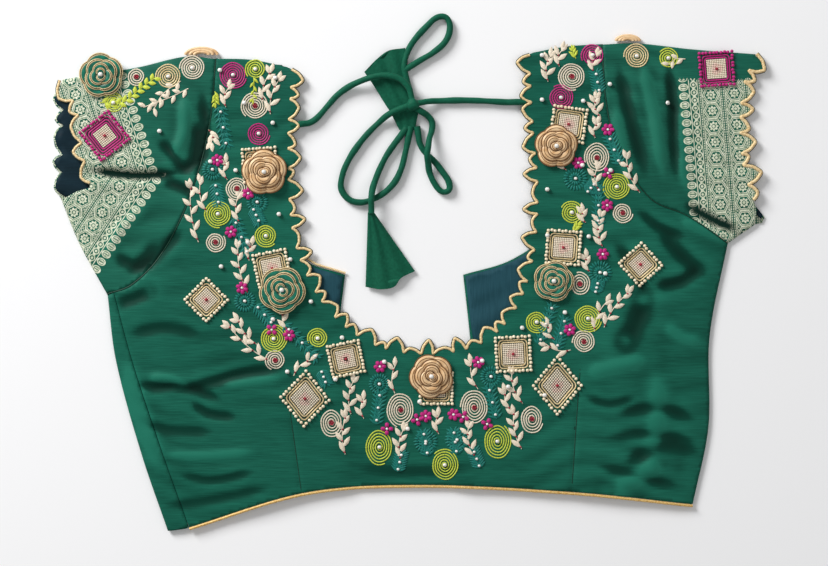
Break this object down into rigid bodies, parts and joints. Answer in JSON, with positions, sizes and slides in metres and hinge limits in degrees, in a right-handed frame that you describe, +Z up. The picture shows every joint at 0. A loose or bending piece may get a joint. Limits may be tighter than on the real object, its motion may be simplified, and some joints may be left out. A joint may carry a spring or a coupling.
{
  "type": "choli blouse",
  "caption": "Short fitted blouse laid flat with its back up: deep scalloped U neck with a tied cord and tassels, short sleeves with a woven border, embroidery and fabric roses round the neck.",
  "frame": {"origin": "middle of the garment's box, on the surface that it lies on", "axes": "+X across the garment from its sleeve on the left of the view to the one on the right, +Y from the hem to the shoulders, +Z up out of the surface"},
  "size_m": [0.5919, 0.4263, 0.0135],
  "materials": {
    "silk": "plain woven silk with a soft sheen, embroidered round the neck",
    "sleeve_silk": "the same silk with a brocade border woven in silver cream at the hem",
    "teal_lining": "plain woven cotton lining, matt",
    "dark_lining": "plain woven cotton lining, matt",
    "piping": "corded piping in cream and gold satin",
    "rose_cloth": "folded satin, peach with gold edges",
    "green_rose_cloth": "folded satin, green with corded cream edges",
    "dori_cloth": "sewn tube of the blouse silk"
  },
  "bodies": {
    "root": {"back": "silk", "dori_knot": "dori_cloth", "dori_left": "dori_cloth", "dori_loop_lower": "dori_cloth", "dori_loop_right": "dori_cloth", "dori_loop_top": "dori_cloth", "dori_right": "dori_cloth", "dori_tail": "dori_cloth", "front_left": "silk", "front_lining_left": "teal_lining", "front_lining_right": "teal_lining", "front_neck_piping": "piping", "front_right": "silk", "hem_piping": "piping", "neck_piping": "piping", "rose_centre": "rose_cloth", "rose_front_left": "rose_cloth", "rose_front_right": "rose_cloth", "rose_shoulder_left": "rose_cloth", "rose_shoulder_right": "rose_cloth", "rose_side_left": "green_rose_cloth", "rose_side_right": "green_rose_cloth", "rose_sleeve": "green_rose_cloth", "sleeve_left": "sleeve_silk", "sleeve_lining_left": "dark_lining", "sleeve_lining_right": "dark_lining", "sleeve_piping_left": "piping", "sleeve_piping_right": "piping", "sleeve_right": "sleeve_silk", "tassel_lower": "dori_cloth", "tassel_upper": "dori_cloth"}
  },
  "joints": []
}
